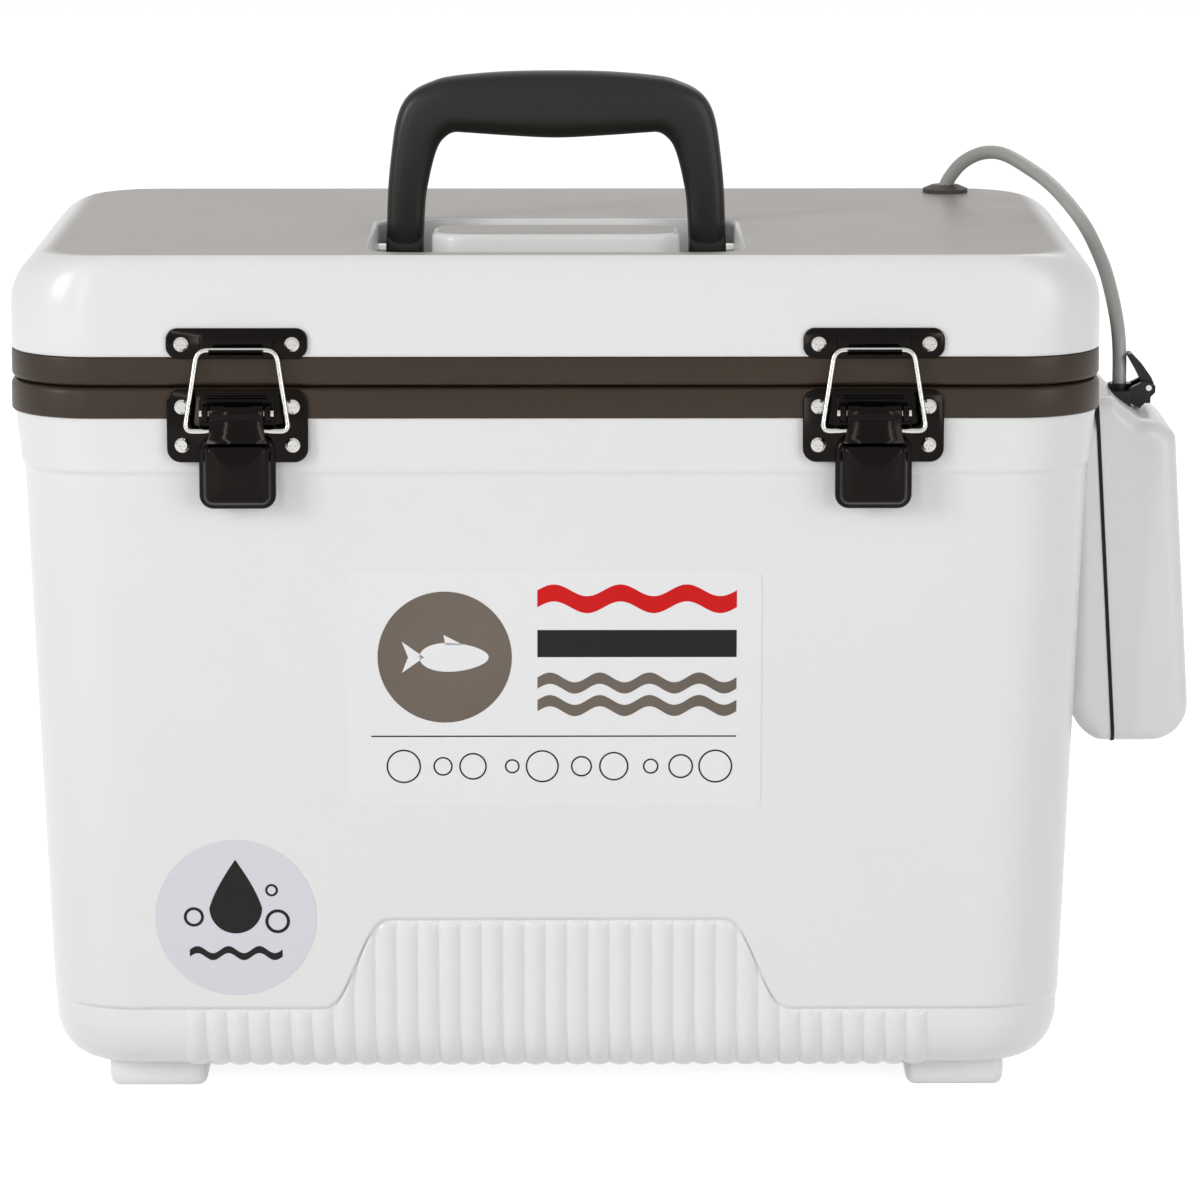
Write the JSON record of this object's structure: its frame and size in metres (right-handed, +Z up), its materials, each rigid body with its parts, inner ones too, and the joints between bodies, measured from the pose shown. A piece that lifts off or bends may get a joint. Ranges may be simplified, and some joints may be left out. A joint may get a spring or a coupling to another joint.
{
  "type": "aerated bait bucket",
  "caption": "Insulated live-bait box: rectangular tub with hinged lid, draw latches, folding carry handle and a side-hung battery air pump with a hose into the lid.",
  "frame": {"origin": "on the floor under the middle of the box that bounds everything but the air hose", "axes": "+X towards the side with the air pump, -Y towards the latches, +Z up; the feet stand on Z = 0"},
  "size_m": [0.519, 0.29, 0.4423],
  "materials": {
    "body_white": "fine pebble grain",
    "liner_white": "smooth",
    "band_brown": "satin",
    "handle_black": "satin",
    "black_plastic": "satin",
    "black_rubber": "matt",
    "seal_foam": "matt",
    "black_nickel": "polished dark plating",
    "steel": "bright",
    "foam": "rigid foam",
    "hose": "smooth",
    "grommet": "matt",
    "label": "printed film",
    "cell": "sleeve",
    "pump_grey": "moulded",
    "stone": "porous"
  },
  "bodies": {
    "tub": {"tub_shell": "body_white", "tub_liner": "liner_white", "tub_insulation": "foam", "tub_rim_band": "band_brown", "rim_gasket": "seal_foam", "feet": "body_white", "hinge_tub_leaves": "steel", "hinge_pins": "steel", "hinge_tub_screws": "steel", "left_latch_base": "black_nickel", "right_latch_base": "black_nickel", "latch_base_screws": "steel", "latch_pins": "steel", "pump_bracket": "black_plastic", "pump_bracket_screws": "steel", "pump_rear_case": "body_white", "pump_front_case": "body_white", "pump_case_gasket": "black_rubber", "pump_chassis": "black_plastic", "pump_head": "pump_grey", "pump_diaphragm": "black_rubber", "diaphragm_yoke": "pump_grey", "pump_motor": "steel", "battery_cells": "cell", "battery_contacts": "steel", "hose_collar": "black_plastic", "switch_bezel": "black_plastic", "case_latch_pin": "steel", "air_hose": "hose", "air_stone": "stone", "front_label": "label", "round_label": "label"},
    "lid": {"lid_shell": "body_white", "lid_band": "band_brown", "lid_liner": "liner_white", "lid_insulation": "foam", "hinge_lid_leaves": "steel", "hinge_lid_screws": "steel", "left_keeper": "black_nickel", "right_keeper": "black_nickel", "keeper_screws": "steel", "handle_pins": "steel", "hose_grommet": "grommet", "inner_hose": "hose"},
    "handle": {"carry_handle": "handle_black"},
    "left_latch": {"left_lever": "black_nickel"},
    "right_latch": {"right_lever": "black_nickel"},
    "left_wire": {"left_bail": "steel"},
    "right_wire": {"right_bail": "steel"},
    "rocker": {"switch_rocker": "black_plastic"},
    "fin": {"case_latch": "black_plastic"},
    "rotor": {"motor_shaft": "steel", "eccentric": "black_nickel"}
  },
  "joints": [
    {"name": "lid_hinge", "type": "hinge", "parent": "tub", "child": "lid", "pos_m": [0, 0.1414, 0.31865], "axis": [-1, 0, 0], "range_deg": [0, 100], "deforming": ["air_hose", "inner_hose"]},
    {"name": "handle_fold", "type": "hinge", "parent": "lid", "child": "handle", "pos_m": [-0.02397, -0.005, 0.3622], "axis": [1, 0, 0], "range_deg": [0, 88]},
    {"name": "left_lever_turn", "type": "hinge", "parent": "tub", "child": "left_latch", "pos_m": [-0.15977, -0.14, 0.3083], "axis": [-1, 0, 0], "range_deg": [0, 150]},
    {"name": "right_lever_turn", "type": "hinge", "parent": "tub", "child": "right_latch", "pos_m": [0.11183, -0.14, 0.3083], "axis": [-1, 0, 0], "range_deg": [0, 150]},
    {"name": "left_bail_turn", "type": "hinge", "parent": "left_latch", "child": "left_wire", "pos_m": [-0.15977, -0.14, 0.3007], "axis": [-1, 0, 0], "range_deg": [-150, 0]},
    {"name": "right_bail_turn", "type": "hinge", "parent": "right_latch", "child": "right_wire", "pos_m": [0.11183, -0.14, 0.3007], "axis": [-1, 0, 0], "range_deg": [-150, 0]},
    {"name": "switch_rock", "type": "hinge", "parent": "tub", "child": "rocker", "pos_m": [0.2537, 0.00225, 0.24667], "axis": [-0.0619, 0, 0.9981], "range_deg": [0, 16]},
    {"name": "case_latch_turn", "type": "hinge", "parent": "tub", "child": "fin", "pos_m": [0.24253, 0.00225, 0.2996], "axis": [0, 1, 0], "range_deg": [0, 60]},
    {"name": "motor_spin", "type": "hinge", "parent": "tub", "child": "rotor", "pos_m": [0.23003, 0.00225, 0.2293], "axis": [0, 1, 0], "continuous": true}
  ],
  "couplings": [
    {"joint": "left_bail_turn", "follows": "left_lever_turn", "ratio": -1},
    {"joint": "right_bail_turn", "follows": "right_lever_turn", "ratio": -1}
  ]
}
